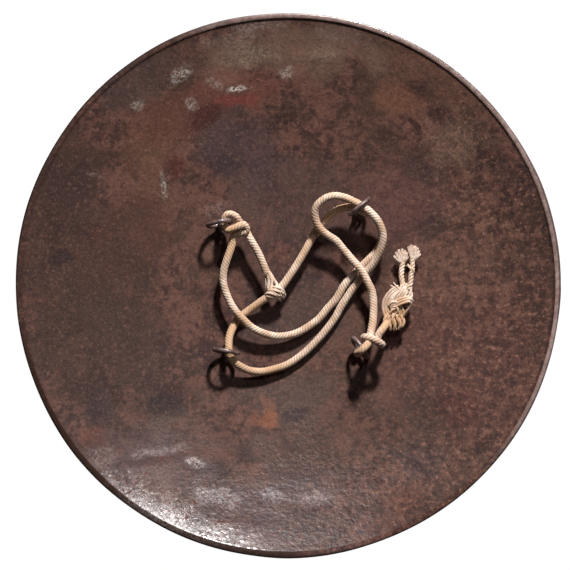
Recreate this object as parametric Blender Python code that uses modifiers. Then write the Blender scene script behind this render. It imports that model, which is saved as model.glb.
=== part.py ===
"""Round iron shield, lying on its front with its hollow side up.

A dished plate with a beaded rim, four ring bolts that go through it, a loose iron ring in each bolt,
and one twisted cotton rope tied to the rings. Metres, +Z up, origin on the floor under the middle.
"""

import math

import bpy
from mathutils import Matrix, Vector

# The plate and its rim
SHIELD_DIAMETER = 0.500
DISH_DEPTH = 0.056
PLATE_THICKNESS = 0.0020
RIM_BEAD_DIAMETER = 0.0058
MIDDLE_ABOVE_FLOOR = 0.0015
PLATE_SEGMENTS = 68
PLATE_ARC_POINTS = 7
BEAD_POINTS = 7

# The ring bolts: a low domed boss in front, a shank through the plate and an eye inside
BOSS_RADIUS = 0.0160
BOSS_EDGE = 0.0010
BOSS_FLATTENED = 0.0006
BOSS_ARC_POINTS = 4
SHANK_RADIUS = 0.0022
SHANK_CLEARANCE = 0.0004
EYE_RADIUS = 0.0042
EYE_WIRE_RADIUS = 0.0016
EYE_ABOVE_PLATE = 0.0066
BOLT_SEGMENTS = 20
EYE_SEGMENTS = 14
EYE_SIDES = 6

# The rings
RING_RADIUS = 0.0111
RING_WIRE_RADIUS = 0.0021
RING_SEGMENTS = 22
RING_SIDES = 8

# Where each ring stands: x, y, the direction of its plane seen from above, and its lean in degrees
RINGS = {
    "upper_left": (-0.0643, 0.0569, 11.5, -7.0),
    "upper_right": (0.0673, 0.0739, 39.5, 0.0),
    "lower_left": (-0.0585, -0.0635, -9.0, -5.0),
    "lower_right": (0.0665, -0.0599, -54.0, -8.0),
}

# The rope
ROPE_DIAMETER = 0.0073
ROPE_STEP = 0.0146
LOOP_STEP = 0.0030
SHORTEST_STRETCH = 0.0050
FRAYED_DIAMETER = 0.0042
FRAYED_STEP = 0.0073
FRAYED_SWELL = 0.9
TOUCHING_GAP = 0.0003
KNOT_SEGMENTS = 14
KNOT_RINGS = 9

# The rope's route from the hitch in the middle to the end knot: x, y and the height of its middle
# above the plate
ROPE_ROUTE = [
    (-0.0193, 0.0098, 0.0156),
    (-0.0215, 0.0155, 0.0160),
    (-0.0275, 0.0295, 0.0170),
    (-0.0345, 0.0418, 0.0174),
    (-0.0389, 0.0498, 0.0155),
    (-0.0424, 0.0553, 0.0165),
    (-0.0456, 0.0595, 0.0190),
    (-0.0479, 0.0632, 0.0210),
    (-0.0521, 0.0659, 0.0215),
    (-0.0567, 0.0656, 0.0206),
    (-0.0589, 0.0622, 0.0196),
    (-0.0589, 0.0578, 0.0194),
    (-0.0581, 0.0535, 0.0200),
    (-0.0553, 0.0513, 0.0215),
    (-0.0506, 0.0527, 0.0234),
    (-0.0454, 0.0549, 0.0242),
    (-0.0415, 0.0561, 0.0230),
    (-0.0388, 0.0530, 0.0208),
    (-0.0404, 0.0497, 0.0202),
    (-0.0449, 0.0484, 0.0194),
    (-0.0491, 0.0469, 0.0184),
    (-0.0514, 0.0426, 0.0176),
    (-0.0524, 0.0370, 0.0174),
    (-0.0555, 0.0279, 0.0180),
    (-0.0595, 0.0155, 0.0175),
    (-0.0605, 0.0030, 0.0170),
    (-0.0570, -0.0095, 0.0170),
    (-0.0510, -0.0215, 0.0170),
    (-0.0415, -0.0325, 0.0165),
    (-0.0325, -0.0405, 0.0140),
    (-0.0200, -0.0460, 0.0115),
    (-0.0075, -0.0480, 0.0095),
    (0.0050, -0.0460, 0.0080),
    (0.0160, -0.0410, 0.0070),
    (0.0285, -0.0320, 0.0060),
    (0.0375, -0.0215, 0.0055),
    (0.0455, -0.0125, 0.0055),
    (0.0530, -0.0000, 0.0055),
    (0.0629, 0.0110, 0.0055),
    (0.0728, 0.0211, 0.0060),
    (0.0815, 0.0302, 0.0068),
    (0.0868, 0.0398, 0.0084),
    (0.0876, 0.0491, 0.0102),
    (0.0843, 0.0579, 0.0126),
    (0.0781, 0.0647, 0.0142),
    (0.0714, 0.0677, 0.0159),
    (0.0651, 0.0704, 0.0164),
    (0.0586, 0.0726, 0.0160),
    (0.0487, 0.0711, 0.0142),
    (0.0393, 0.0657, 0.0130),
    (0.0329, 0.0584, 0.0112),
    (0.0260, 0.0505, 0.0105),
    (0.0190, 0.0375, 0.0110),
    (0.0110, 0.0235, 0.0120),
    (0.0020, 0.0095, 0.0135),
    (-0.0060, -0.0015, 0.0148),
    (-0.0115, -0.0065, 0.0150),
    (-0.0185, -0.0110, 0.0140),
    (-0.0275, -0.0170, 0.0115),
    (-0.0385, -0.0250, 0.0085),
    (-0.0465, -0.0310, 0.0080),
    (-0.0520, -0.0405, 0.0115),
    (-0.0550, -0.0495, 0.0157),
    (-0.0552, -0.0600, 0.0187),
    (-0.0535, -0.0670, 0.0175),
    (-0.0480, -0.0735, 0.0140),
    (-0.0370, -0.0795, 0.0097),
    (-0.0245, -0.0810, 0.0070),
    (-0.0120, -0.0785, 0.0060),
    (0.0005, -0.0740, 0.0055),
    (0.0130, -0.0655, 0.0055),
    (0.0250, -0.0545, 0.0055),
    (0.0360, -0.0420, 0.0055),
    (0.0440, -0.0310, 0.0055),
    (0.0500, -0.0200, 0.0058),
    (0.0580, -0.0075, 0.0065),
    (0.0655, 0.0030, 0.0072),
    (0.0734, 0.0125, 0.0094),
    (0.0805, 0.0212, 0.0126),
    (0.0866, 0.0340, 0.0162),
    (0.0883, 0.0464, 0.0189),
    (0.0844, 0.0581, 0.0212),
    (0.0774, 0.0668, 0.0222),
    (0.0695, 0.0729, 0.0223),
    (0.0610, 0.0777, 0.0232),
    (0.0516, 0.0815, 0.0245),
    (0.0427, 0.0828, 0.0250),
    (0.0341, 0.0802, 0.0248),
    (0.0270, 0.0738, 0.0238),
    (0.0251, 0.0652, 0.0222),
    (0.0279, 0.0558, 0.0202),
    (0.0347, 0.0483, 0.0178),
    (0.0447, 0.0416, 0.0158),
    (0.0521, 0.0330, 0.0148),
    (0.0605, 0.0231, 0.0156),
    (0.0686, 0.0136, 0.0172),
    (0.0744, 0.0028, 0.0168),
    (0.0785, -0.0064, 0.0162),
    (0.0798, -0.0185, 0.0170),
    (0.0792, -0.0310, 0.0200),
    (0.0779, -0.0390, 0.0225),
    (0.0765, -0.0450, 0.0255),
    (0.0755, -0.0505, 0.0290),
    (0.0733, -0.0547, 0.0338),
    (0.0697, -0.0586, 0.0362),
    (0.0665, -0.0616, 0.0344),
    (0.0645, -0.0632, 0.0284),
    (0.0658, -0.0627, 0.0230),
    (0.0696, -0.0593, 0.0203),
    (0.0729, -0.0557, 0.0202),
    (0.0736, -0.0521, 0.0218),
    (0.0713, -0.0496, 0.0253),
    (0.0704, -0.0486, 0.0293),
    (0.0732, -0.0483, 0.0325),
    (0.0776, -0.0494, 0.0336),
    (0.0822, -0.0518, 0.0326),
    (0.0858, -0.0541, 0.0295),
    (0.0867, -0.0551, 0.0256),
    (0.0848, -0.0543, 0.0222),
    (0.0830, -0.0514, 0.0212),
    (0.0840, -0.0467, 0.0216),
    (0.0868, -0.0423, 0.0216),
    (0.0897, -0.0386, 0.0180),
    (0.0929, -0.0350, 0.0135),
    (0.0962, -0.0311, 0.0100),
]

# The rope's free stretches in the order of its route, each with the step of its points
STRETCHES = {
    "rope_tie": ROPE_STEP,
    "rope_loop_upper_left": LOOP_STEP,
    "rope_upper_stretch": ROPE_STEP,
    "rope_lower_stretch": ROPE_STEP,
    "rope_loop_lower_right": LOOP_STEP,
    "rope_tail": ROPE_STEP,
}

# Where the knot is pulled tight round a ring: x, y, reach and the share of the rope's thickness left
TIGHT_PLACES = [(-0.0545, 0.0620, 0.0085, 0.86)]

# The two strands that come out of the end knot and end in tufts
FRAYED_LEFT_ROUTE = [
    (0.1045, -0.0160, 0.0110),
    (0.1072, -0.0046, 0.0130),
    (0.1058, 0.0076, 0.0113),
    (0.1063, 0.0168, 0.0093),
    (0.1060, 0.0250, 0.0082),
    (0.1056, 0.0325, 0.0080),
]
FRAYED_RIGHT_ROUTE = [
    (0.1100, -0.0160, 0.0110),
    (0.1126, -0.0046, 0.0132),
    (0.1145, 0.0076, 0.0120),
    (0.1160, 0.0206, 0.0094),
    (0.1160, 0.0260, 0.0088),
    (0.1174, 0.0365, 0.0085),
]

# Knots as rounded lumps: x, y, height above the plate, three radii and the turn in degrees
UPPER_LEFT_KNOT = [(-0.0478, 0.0508, 0.0200, 0.0103, 0.0060, 0.0072, 12.0)]
MIDDLE_HITCH = [
    (-0.0118, -0.0068, 0.0150, 0.0088, 0.0074, 0.0062, 40.0),
    (-0.0165, 0.0025, 0.0155, 0.0088, 0.0046, 0.0042, -64.0),
]
LOWER_RIGHT_KNOT = [(0.0787, -0.0519, 0.0272, 0.0118, 0.0066, 0.0088, -20.0)]
END_KNOT = [
    (0.1010, -0.0245, 0.0105, 0.0105, 0.0150, 0.0072, -12.0),
    (0.1085, -0.0135, 0.0110, 0.0078, 0.0060, 0.0062, 20.0),
    (0.0965, -0.0350, 0.0105, 0.0075, 0.0058, 0.0062, 10.0),
]

# Surface colours, roughness and metallic value
IRON_BROWN = ((0.095, 0.055, 0.043, 1.0), 0.55, 0.6)
IRON_DARK = ((0.050, 0.036, 0.032, 1.0), 0.50, 0.7)
COTTON = ((0.780, 0.670, 0.500, 1.0), 0.90, 0.0)

# Worked out from the sizes above
SHIELD_RADIUS = SHIELD_DIAMETER / 2
RIM_BEAD_RADIUS = RIM_BEAD_DIAMETER / 2
BEAD_CENTRE_RADIUS = SHIELD_RADIUS - RIM_BEAD_RADIUS
HALF_THICKNESS = PLATE_THICKNESS / 2
DISH_RADIUS = (BEAD_CENTRE_RADIUS**2 + DISH_DEPTH**2) / (2 * DISH_DEPTH)
DISH_CENTRE_Z = MIDDLE_ABOVE_FLOOR + HALF_THICKNESS + DISH_RADIUS
ROPE_RADIUS = ROPE_DIAMETER / 2
MERGE = 0.00001


def clear_scene():
    for obj in list(bpy.data.objects):
        bpy.data.objects.remove(obj)


def make_collection(name):
    collection = bpy.data.collections.new(name)
    bpy.context.scene.collection.children.link(collection)
    return collection


def make_material(name, look):
    colour, roughness, metallic = look
    material = bpy.data.materials.new(name)
    material.use_nodes = True
    shader = material.node_tree.nodes["Principled BSDF"]
    shader.inputs["Base Color"].default_value = colour
    shader.inputs["Roughness"].default_value = roughness
    shader.inputs["Metallic"].default_value = metallic
    return material


def inside_height(x, y):
    """Height of the plate's hollow side at a place seen from above."""
    radius = DISH_RADIUS - HALF_THICKNESS
    return DISH_CENTRE_Z - math.sqrt(radius**2 - x * x - y * y)


def inside_point(x, y):
    return Vector((x, y, inside_height(x, y)))


def plate_normal(x, y):
    """Unit vector out of the hollow side, towards the middle of the dish's sphere."""
    return (Vector((0, 0, DISH_CENTRE_Z)) - inside_point(x, y)).normalized()


def place_object(obj, collection, look=None):
    """Moves a new object into its collection and gives it its own material."""
    for user in list(obj.users_collection):
        user.objects.unlink(obj)
    collection.objects.link(obj)
    if look is not None:
        obj.data.materials.clear()
        obj.data.materials.append(make_material(obj.name, look))
    return obj


def mark_as_cutter(obj):
    obj.hide_render = True
    obj.display_type = "WIRE"
    return obj


def turned_object(name, profile, segments):
    """A profile of (radius, height) points, from the axis to the axis, turned round Z."""
    mesh = bpy.data.meshes.new(name)
    points = [(radius, 0.0, height) for radius, height in profile]
    edges = [(i, i + 1) for i in range(len(points) - 1)]
    mesh.from_pydata(points, edges, [])
    obj = bpy.data.objects.new(name, mesh)
    bpy.context.scene.collection.objects.link(obj)
    screw = obj.modifiers.new("turn", "SCREW")
    screw.axis = "Z"
    screw.angle = math.tau
    screw.steps = segments
    screw.render_steps = segments
    screw.use_merge_vertices = True
    screw.merge_threshold = MERGE
    screw.use_smooth_shade = True
    return obj


def add_boolean(obj, other, operation):
    modifier = obj.modifiers.new(operation.lower(), "BOOLEAN")
    modifier.operation = operation
    modifier.solver = "EXACT"
    modifier.object = other


def dish_point(radius, offset):
    """A profile point on the plate at a distance from its middle surface, inside being positive."""
    slope = math.asin(radius / DISH_RADIUS)
    sphere = DISH_RADIUS - offset
    return sphere * math.sin(slope), DISH_CENTRE_Z - sphere * math.cos(slope)


def plate_profile():
    """Up the hollow side, round the rim bead and down the front to the middle."""
    slope = math.asin(BEAD_CENTRE_RADIUS / DISH_RADIUS)
    meet = math.asin(HALF_THICKNESS / RIM_BEAD_RADIUS)
    reach = RIM_BEAD_RADIUS * math.cos(meet)
    plate_end = BEAD_CENTRE_RADIUS - reach * math.cos(slope)
    radii = [plate_end * i / PLATE_ARC_POINTS for i in range(PLATE_ARC_POINTS)]
    inside = [dish_point(radius, HALF_THICKNESS) for radius in radii]
    outside = [dish_point(radius, -HALF_THICKNESS) for radius in reversed(radii)]
    centre_z = DISH_CENTRE_Z - DISH_RADIUS * math.cos(slope)
    start = math.pi - meet
    bead = []
    for i in range(BEAD_POINTS + 2):
        angle = start - 2 * start * i / (BEAD_POINTS + 1)
        along = RIM_BEAD_RADIUS * math.cos(angle)
        across = RIM_BEAD_RADIUS * math.sin(angle)
        radius = BEAD_CENTRE_RADIUS + along * math.cos(slope) - across * math.sin(slope)
        bead.append((radius, centre_z + along * math.sin(slope) + across * math.cos(slope)))
    return inside + bead + outside


def bolt_frame(x, y, turn):
    """Origin on the hollow side, Z out of the plate and X along the ring's plane."""
    normal = plate_normal(x, y)
    level = Vector((math.cos(turn), math.sin(turn), 0))
    along = (level - normal * level.dot(normal)).normalized()
    across = normal.cross(along)
    frame = Matrix((along, across, normal)).transposed().to_4x4()
    frame.translation = inside_point(x, y)
    return frame


def bolt_profile(boss_height):
    """The shank from its top, then the boss's flat back, edge and low dome."""
    back = -PLATE_THICKNESS - TOUCHING_GAP
    eye_foot = EYE_ABOVE_PLATE - EYE_RADIUS
    profile = [(0.0, eye_foot), (EYE_WIRE_RADIUS * 0.8, eye_foot)]
    profile += [(SHANK_RADIUS, eye_foot - EYE_WIRE_RADIUS), (SHANK_RADIUS, back)]
    profile += [(BOSS_RADIUS, back), (BOSS_RADIUS, back - BOSS_EDGE)]
    dome = boss_height - BOSS_EDGE
    sphere = (BOSS_RADIUS**2 + dome**2) / (2 * dome)
    full = math.asin(BOSS_RADIUS / sphere)
    for i in range(1, BOSS_ARC_POINTS + 1):
        angle = full * (1 - i / BOSS_ARC_POINTS)
        drop = sphere * math.cos(angle) - (sphere - dome)
        profile.append((sphere * math.sin(angle), back - BOSS_EDGE - drop))
    return profile


def make_torus(name, radius, wire_radius, segments, sides):
    bpy.ops.mesh.primitive_torus_add(
        major_radius=radius, minor_radius=wire_radius, major_segments=segments, minor_segments=sides
    )
    obj = bpy.context.object
    obj.name = name
    obj.data.name = name
    obj.data.shade_smooth()
    return obj


def make_plate(parts, cutters):
    plate = turned_object("shield_plate", plate_profile(), PLATE_SEGMENTS)
    place_object(plate, parts, IRON_BROWN)
    for name, (x, y, turn, lean) in RINGS.items():
        bpy.ops.mesh.primitive_cylinder_add(
            vertices=BOLT_SEGMENTS, radius=SHANK_RADIUS + SHANK_CLEARANCE, depth=PLATE_THICKNESS * 6
        )
        hole = bpy.context.object
        hole.name = "hole_" + name
        hole.matrix_world = bolt_frame(x, y, math.radians(turn))
        place_object(hole, cutters)
        mark_as_cutter(hole)
        add_boolean(plate, hole, "DIFFERENCE")


def make_floor_cutter(cutters):
    bpy.ops.mesh.primitive_cube_add(size=SHIELD_DIAMETER)
    floor = bpy.context.object
    floor.name = "floor_cut"
    floor.location = (0, 0, -SHIELD_DIAMETER / 2)
    place_object(floor, cutters)
    return mark_as_cutter(floor)


def make_bolt(name, parts, cutters, floor):
    """One forging: boss, shank and eye, its boss flattened where the shield rests on it."""
    x, y, turn, lean = RINGS[name]
    frame = bolt_frame(x, y, math.radians(turn))
    to_floor = frame.translation.z / frame.col[2].z - PLATE_THICKNESS - TOUCHING_GAP
    bolt = turned_object("ring_bolt_" + name, bolt_profile(to_floor + BOSS_FLATTENED), BOLT_SEGMENTS)
    bolt.matrix_world = frame
    place_object(bolt, parts, IRON_DARK)
    eye = make_torus("eye_" + name, EYE_RADIUS, EYE_WIRE_RADIUS, EYE_SEGMENTS, EYE_SIDES)
    upright = Matrix.Rotation(math.pi / 2, 4, "Y")
    eye.matrix_world = frame @ Matrix.Translation((0, 0, EYE_ABOVE_PLATE)) @ upright
    place_object(eye, cutters)
    mark_as_cutter(eye)
    add_boolean(bolt, eye, "UNION")
    add_boolean(bolt, floor, "DIFFERENCE")


def ring_frame(name):
    """Origin at the ring's middle, X along its plane and Y up in it."""
    x, y, turn, lean = RINGS[name]
    eye_middle = inside_point(x, y) + plate_normal(x, y) * EYE_ABOVE_PLATE
    turned = Matrix.Rotation(math.radians(turn), 4, "Z")
    upright = Matrix.Rotation(math.pi / 2 + math.radians(lean), 4, "X")
    return Matrix.Translation(eye_middle) @ turned @ upright @ Matrix.Translation((0, RING_RADIUS, 0))


def make_ring(name, parts):
    ring = make_torus("ring_" + name, RING_RADIUS, RING_WIRE_RADIUS, RING_SEGMENTS, RING_SIDES)
    ring.matrix_world = ring_frame(name)
    place_object(ring, parts, IRON_DARK)


def above_plate(x, y, height):
    return Vector((x, y, inside_height(x, y) + height))


def smooth_curve(points, step):
    """Points an even step apart on a smooth curve through the route's points."""
    ends = [points[0] * 2 - points[1], *points, points[-1] * 2 - points[-2]]
    fine = []
    per_span = 24
    for a, b, c, d in zip(ends, ends[1:], ends[2:], ends[3:]):
        for i in range(per_span):
            t = i / per_span
            cubic = (b * 3 - a - c * 3 + d) * t**3 + (a * 2 - b * 5 + c * 4 - d) * t**2
            fine.append((cubic + (c - a) * t + b * 2) / 2)
    fine.append(points[-1])
    lengths = [0.0]
    for a, b in zip(fine, fine[1:]):
        lengths.append(lengths[-1] + (b - a).length)
    count = max(2, round(lengths[-1] / step))
    even = []
    at = 0
    for i in range(count + 1):
        wanted = lengths[-1] * i / count
        while at < len(fine) - 2 and lengths[at + 1] < wanted:
            at += 1
        share = (wanted - lengths[at]) / max(lengths[at + 1] - lengths[at], MERGE)
        even.append(fine[at].lerp(fine[at + 1], min(share, 1.0)))
    return even


def lump_matrix(lump):
    x, y, height, along, across, up, turn = lump
    place = Matrix.Translation(above_plate(x, y, height))
    return place @ Matrix.Rotation(math.radians(turn), 4, "Z") @ Matrix.Diagonal((along, across, up, 1))


def is_clear(point, direction, lumps, radius):
    """True where a section through the rope lies outside every lump of a knot."""
    side = direction.orthogonal().normalized() * radius
    rim = [side.copy() for i in range(8)]
    for i, spoke in enumerate(rim):
        spoke.rotate(Matrix.Rotation(math.tau * i / 8, 3, direction))
    for lump in lumps:
        shrink = lump_matrix(lump).inverted()
        limit = 1 + TOUCHING_GAP * 3 / min(lump[3:6])
        if any((shrink @ (point + offset)).length < limit for offset in [Vector(), *rim]):
            return False
    return True


def free_stretches(points, lumps, radius):
    """The stretches of a fine line of points that lie outside the knots, in order."""
    stretches = [[]]
    for point, following in zip(points, points[1:]):
        if is_clear(point, following - point, lumps, radius):
            stretches[-1].append(point)
        elif stretches[-1]:
            stretches.append([])
    return [line for line in stretches if len(line) > 1 and (line[-1] - line[0]).length > SHORTEST_STRETCH]


def tightness(point):
    """The share of the rope's thickness that is left where a knot pulls it tight."""
    share = 1.0
    for x, y, reach, tight_share in TIGHT_PLACES:
        near = math.exp(-((point.x - x) ** 2 + (point.y - y) ** 2) / reach**2)
        share *= 1 - (1 - tight_share) * near
    return share


def make_rope(name, line, diameter, parts, end_swell=0.0):
    """A plain tube along a line of points."""
    curve = bpy.data.curves.new(name, "CURVE")
    curve.dimensions = "3D"
    curve.bevel_depth = diameter / 2
    curve.bevel_resolution = 2
    curve.use_fill_caps = True
    spline = curve.splines.new("POLY")
    spline.points.add(len(line) - 1)
    for i, point in enumerate(line):
        spline.points[i].co = (*point, 1.0)
        swell = 1.0 + end_swell * max(0.0, 3 * i / (len(line) - 1) - 2)
        spline.points[i].radius = swell * tightness(point)
    spline.use_smooth = True
    obj = bpy.data.objects.new(name, curve)
    bpy.context.scene.collection.objects.link(obj)
    place_object(obj, parts, COTTON)


def make_knot(name, lumps, parts, cutters):
    """A knot as one rounded lump, or as several joined into one."""
    made = []
    for i, lump in enumerate(lumps):
        bpy.ops.mesh.primitive_uv_sphere_add(segments=KNOT_SEGMENTS, ring_count=KNOT_RINGS, radius=1.0)
        obj = bpy.context.object
        obj.data.transform(lump_matrix(lump))
        obj.data.shade_smooth()
        obj.name = name if i == 0 else f"{name}_lobe_{i}"
        made.append(obj)
    place_object(made[0], parts, COTTON)
    for lobe in made[1:]:
        place_object(lobe, cutters)
        mark_as_cutter(lobe)
        add_boolean(made[0], lobe, "UNION")


def route(points):
    return [above_plate(x, y, height) for x, y, height in points]


def make_ropes(parts, cutters):
    make_knot("rope_knot_upper_left", UPPER_LEFT_KNOT, parts, cutters)
    make_knot("rope_hitch_middle", MIDDLE_HITCH, parts, cutters)
    make_knot("rope_knot_lower_right", LOWER_RIGHT_KNOT, parts, cutters)
    make_knot("rope_end_knot", END_KNOT, parts, cutters)
    lumps = UPPER_LEFT_KNOT + MIDDLE_HITCH + LOWER_RIGHT_KNOT + END_KNOT
    fine = smooth_curve(route(ROPE_ROUTE), ROPE_DIAMETER / 12)
    free = free_stretches(fine, lumps, ROPE_RADIUS)
    for (name, step), line in zip(STRETCHES.items(), free, strict=True):
        make_rope(name, smooth_curve(line, step), ROPE_DIAMETER, parts)
    frayed = {"rope_frayed_left": FRAYED_LEFT_ROUTE, "rope_frayed_right": FRAYED_RIGHT_ROUTE}
    for name, points in frayed.items():
        strand = smooth_curve(route(points), FRAYED_DIAMETER / 12)
        line = free_stretches(strand, END_KNOT, FRAYED_DIAMETER / 2)[0]
        make_rope(name, smooth_curve(line, FRAYED_STEP), FRAYED_DIAMETER, parts, FRAYED_SWELL)


def main():
    clear_scene()
    parts = make_collection("round_shield")
    cutters = make_collection("cutters")
    make_plate(parts, cutters)
    floor = make_floor_cutter(cutters)
    for name in RINGS:
        make_bolt(name, parts, cutters, floor)
        make_ring(name, parts)
    make_ropes(parts, cutters)


main()
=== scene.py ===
"""Looks of a round iron shield seen from above into its hollow side: dented and pitted plate, forged
rings and eyes, and one twisted cotton rope with its knots. Metres, in the same frame as the solids."""

import math

import bpy
import numpy as np
from mathutils import Matrix, Vector


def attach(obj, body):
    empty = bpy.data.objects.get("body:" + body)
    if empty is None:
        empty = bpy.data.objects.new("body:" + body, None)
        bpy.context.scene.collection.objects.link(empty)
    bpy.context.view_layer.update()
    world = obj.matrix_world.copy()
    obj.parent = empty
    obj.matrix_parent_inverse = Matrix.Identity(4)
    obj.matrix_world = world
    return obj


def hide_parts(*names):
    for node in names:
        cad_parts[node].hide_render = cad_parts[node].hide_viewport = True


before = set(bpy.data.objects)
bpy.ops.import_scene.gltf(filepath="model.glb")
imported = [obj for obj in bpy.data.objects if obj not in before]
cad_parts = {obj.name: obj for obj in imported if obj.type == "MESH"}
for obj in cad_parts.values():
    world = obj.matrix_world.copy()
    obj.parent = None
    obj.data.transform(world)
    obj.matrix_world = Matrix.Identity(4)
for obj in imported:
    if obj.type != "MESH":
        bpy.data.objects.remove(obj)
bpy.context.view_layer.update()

# Sizes of the plate and its fittings, in metres
SHIELD_RADIUS = 0.25
DISH_DEPTH = 0.056
PLATE_THICKNESS = 0.002
RIM_BEAD_RADIUS = 0.0029
HOLLOW_SIDE_PROUD = 0.35
MIDDLE_ABOVE_FLOOR = 0.0015
BOSS_RADIUS = 0.016
BOSS_EDGE = 0.001
SHANK_RADIUS = 0.0022
EYE_RADIUS = 0.0042
EYE_WIRE_RADIUS = 0.0016
EYE_ABOVE_PLATE = 0.0066
RING_RADIUS = 0.0111
RING_WIRE_RADIUS = 0.0021
TOUCHING_GAP = 0.0003
HALF_THICKNESS = PLATE_THICKNESS / 2
BEAD_CENTRE_RADIUS = SHIELD_RADIUS - RIM_BEAD_RADIUS
DISH_RADIUS = (BEAD_CENTRE_RADIUS**2 + DISH_DEPTH**2) / (2 * DISH_DEPTH)
DISH_CENTRE_Z = MIDDLE_ABOVE_FLOOR + HALF_THICKNESS + DISH_RADIUS

# Each ring: x, y, direction of its plane seen from above and its lean in degrees
RINGS = {
    "upper_left": (-0.0643, 0.0569, 11.5, -7.0),
    "upper_right": (0.0673, 0.0739, 39.5, 0.0),
    "lower_left": (-0.0585, -0.0635, -9.0, -5.0),
    "lower_right": (0.0665, -0.0599, -54.0, -8.0),
}

# The rope and its route: x, y and the height of its middle above the plate
ROPE_DIAMETER = 0.0073
ROPE_ROUTE = [
    (-0.0193, 0.0098, 0.0156), (-0.0215, 0.0155, 0.016), (-0.0275, 0.0295, 0.017),
    (-0.0345, 0.0418, 0.0174), (-0.0389, 0.0498, 0.0155), (-0.0424, 0.0553, 0.0165),
    (-0.0456, 0.0595, 0.019), (-0.0479, 0.0632, 0.021), (-0.0521, 0.0659, 0.0215),
    (-0.0567, 0.0656, 0.0206), (-0.0589, 0.0622, 0.0196), (-0.0589, 0.0578, 0.0194),
    (-0.0581, 0.0535, 0.02), (-0.0553, 0.0513, 0.0215), (-0.0506, 0.0527, 0.0234),
    (-0.0454, 0.0549, 0.0242), (-0.0415, 0.0561, 0.023), (-0.0388, 0.053, 0.0208),
    (-0.0404, 0.0497, 0.0202), (-0.0449, 0.0484, 0.0194), (-0.0491, 0.0469, 0.0184),
    (-0.0514, 0.0426, 0.0176), (-0.0524, 0.037, 0.0174), (-0.0555, 0.0279, 0.018),
    (-0.0595, 0.0155, 0.0175), (-0.0605, 0.003, 0.017), (-0.057, -0.0095, 0.017),
    (-0.051, -0.0215, 0.017), (-0.0415, -0.0325, 0.0165), (-0.0325, -0.0405, 0.014),
    (-0.02, -0.046, 0.0115), (-0.0075, -0.048, 0.0095), (0.005, -0.046, 0.008),
    (0.016, -0.041, 0.007), (0.0285, -0.032, 0.006), (0.0375, -0.0215, 0.0055),
    (0.0455, -0.0125, 0.0055), (0.053, 0.0, 0.0055), (0.0629, 0.011, 0.0055),
    (0.0728, 0.0211, 0.006), (0.0815, 0.0302, 0.0068), (0.0868, 0.0398, 0.0084),
    (0.0876, 0.0491, 0.0102), (0.0843, 0.0579, 0.0126), (0.0781, 0.0647, 0.0142),
    (0.0714, 0.0677, 0.0159), (0.0651, 0.0704, 0.0164), (0.0586, 0.0726, 0.016),
    (0.0487, 0.0711, 0.0142), (0.0393, 0.0657, 0.013), (0.0329, 0.0584, 0.0112),
    (0.026, 0.0505, 0.0105), (0.019, 0.0375, 0.011), (0.011, 0.0235, 0.012),
    (0.002, 0.0095, 0.0135), (-0.006, -0.0015, 0.0148), (-0.0115, -0.0065, 0.015),
    (-0.0185, -0.011, 0.014), (-0.0275, -0.017, 0.0115), (-0.0385, -0.025, 0.0085),
    (-0.0465, -0.031, 0.008), (-0.052, -0.0405, 0.0115), (-0.055, -0.0495, 0.0157),
    (-0.0552, -0.06, 0.0187), (-0.0535, -0.067, 0.0175), (-0.048, -0.0735, 0.014),
    (-0.037, -0.0795, 0.0097), (-0.0245, -0.081, 0.007), (-0.012, -0.0785, 0.006),
    (0.0005, -0.074, 0.0055), (0.013, -0.0655, 0.0055), (0.025, -0.0545, 0.0055),
    (0.036, -0.042, 0.0055), (0.044, -0.031, 0.0055), (0.05, -0.02, 0.0058),
    (0.058, -0.0075, 0.0065), (0.0655, 0.003, 0.0072), (0.0734, 0.0125, 0.0094),
    (0.0805, 0.0212, 0.0126), (0.0866, 0.034, 0.0162), (0.0883, 0.0464, 0.0189),
    (0.0844, 0.0581, 0.0212), (0.0774, 0.0668, 0.0222), (0.0695, 0.0729, 0.0223),
    (0.061, 0.0777, 0.0232), (0.0516, 0.0815, 0.0245), (0.0427, 0.0828, 0.025),
    (0.0341, 0.0802, 0.0248), (0.027, 0.0738, 0.0238), (0.0251, 0.0652, 0.0222),
    (0.0279, 0.0558, 0.0202), (0.0347, 0.0483, 0.0178), (0.0447, 0.0416, 0.0158),
    (0.0521, 0.033, 0.0148), (0.0605, 0.0231, 0.0156), (0.0686, 0.0136, 0.0172),
    (0.0744, 0.0028, 0.0168), (0.0785, -0.0064, 0.0162), (0.0798, -0.0185, 0.017),
    (0.0792, -0.031, 0.02), (0.0779, -0.039, 0.0225), (0.0765, -0.045, 0.0255),
    (0.0755, -0.0505, 0.029), (0.0733, -0.0547, 0.0338), (0.0697, -0.0586, 0.0362),
    (0.0665, -0.0616, 0.0344), (0.0645, -0.0632, 0.0284), (0.0658, -0.0627, 0.023),
    (0.0696, -0.0593, 0.0203), (0.0729, -0.0557, 0.0202), (0.0736, -0.0521, 0.0218),
    (0.0713, -0.0496, 0.0253), (0.0704, -0.0486, 0.0293), (0.0732, -0.0483, 0.0325),
    (0.0776, -0.0494, 0.0336), (0.0822, -0.0518, 0.0326), (0.0858, -0.0541, 0.0295),
    (0.0867, -0.0551, 0.0256), (0.0848, -0.0543, 0.0222), (0.083, -0.0514, 0.0212),
    (0.084, -0.0467, 0.0216), (0.0868, -0.0423, 0.0216), (0.0897, -0.0386, 0.018),
    (0.0929, -0.035, 0.0135), (0.0962, -0.0311, 0.01),
]


# Loose yarns. A route is x, y and the height above the plate; a tip's share is of the yarn's radius


def single(radius, tip_share, route):
    """One yarn along a route."""
    return (1, 0.0, "round", radius, tip_share, 0, route)


def flat(count, spread, radius, route):
    """Yarns side by side, a spread apart."""
    return (count, spread, "flat", radius, 1.0, 0, route)


def twisted(count, spread, radius, tip_share, turns, route):
    """Yarns twisted round each other, with their turns in radians a metre."""
    return (count, spread, "round", radius, tip_share, turns, route)


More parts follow.
